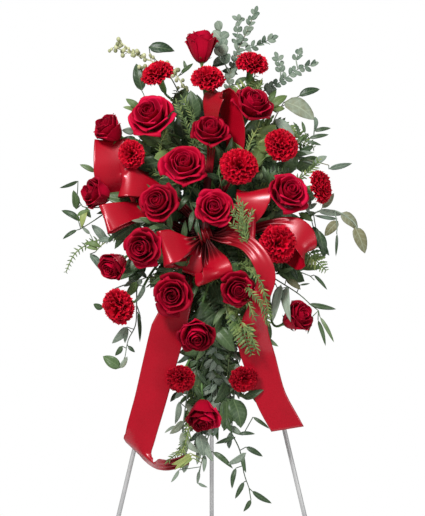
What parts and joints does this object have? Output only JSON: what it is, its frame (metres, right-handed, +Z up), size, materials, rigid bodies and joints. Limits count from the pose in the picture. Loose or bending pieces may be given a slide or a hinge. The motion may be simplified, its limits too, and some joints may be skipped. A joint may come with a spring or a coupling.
{
  "type": "standing funeral spray",
  "caption": "Oval spray of red roses and carnations with greenery and a red ribbon bow, set in a foam block that hangs on a three-legged wire easel with a folding back leg.",
  "frame": {"origin": "on the floor under the middle of the whole object's box", "axes": "+Z up, +X to the viewer's right, -Y towards the viewer, so the spray faces -Y and the back leg stands at +Y"},
  "size_m": [0.6525, 0.6165, 1.584],
  "materials": {
    "rose_petals": "matte",
    "carnation_petals": "matte",
    "stem_green": "satin",
    "dark_leaf": "satin",
    "grey_leaf": "matte",
    "fern_green": "satin",
    "seed_green": "matte",
    "ribbon_satin": "satin",
    "easel_wire": "satin",
    "foam_green": "matte",
    "tray_plastic": "satin",
    "pick_wood": "matte"
  },
  "bodies": {
    "standing_spray": {"easel_leg_left": "easel_wire", "easel_leg_right": "easel_wire", "easel_rung_upper": "easel_wire", "easel_rung_lower": "easel_wire", "easel_head": "easel_wire", "easel_hinge_pin": "easel_wire", "foam_tray": "tray_plastic", "foam_block": "foam_green", "bow_pick": "pick_wood", "bow": "ribbon_satin", "streamer_left": "ribbon_satin", "streamer_right": "ribbon_satin", "rose_01": "rose_petals", "rose_02": "rose_petals", "rose_03": "rose_petals", "rose_04": "rose_petals", "rose_05": "rose_petals", "rose_06": "rose_petals", "rose_07": "rose_petals", "rose_08": "rose_petals", "rose_09": "rose_petals", "rose_10": "rose_petals", "rose_11": "rose_petals", "rose_12": "rose_petals", "rose_13": "rose_petals", "rose_14": "rose_petals", "rose_15": "rose_petals", "rose_16": "rose_petals", "rose_17": "rose_petals", "carnation_01": "carnation_petals", "carnation_02": "carnation_petals", "carnation_03": "carnation_petals", "carnation_04": "carnation_petals", "carnation_05": "carnation_petals", "carnation_06": "carnation_petals", "carnation_07": "carnation_petals", "carnation_08": "carnation_petals", "carnation_09": "carnation_petals", "carnation_10": "carnation_petals", "carnation_11": "carnation_petals", "stems_top": "stem_green", "stems_upper": "stem_green", "stems_left": "stem_green", "stems_lower_left": "stem_green", "stems_right": "stem_green", "stems_front": "stem_green", "stems_bottom": "stem_green", "eucalyptus_upper_right": "grey_leaf", "salal_upper_left": "dark_leaf", "seeded_sprig_upper_left": "seed_green", "salal_right": "grey_leaf", "ruscus_upper_right": "dark_leaf", "eucalyptus_right": "grey_leaf", "ruscus_left": "dark_leaf", "fern_left": "fern_green", "eucalyptus_lower_left": "grey_leaf", "willow_lower_right": "dark_leaf", "ruscus_bottom": "dark_leaf", "fern_upper": "fern_green"},
    "back_leg": {"easel_leg_back": "easel_wire"}
  },
  "joints": [
    {"name": "back_leg_fold", "type": "hinge", "parent": "standing_spray", "child": "back_leg", "pos_m": [0, -0.04391, 1.30299], "axis": [-1, 0, 0], "range_deg": [0, 24]}
  ]
}
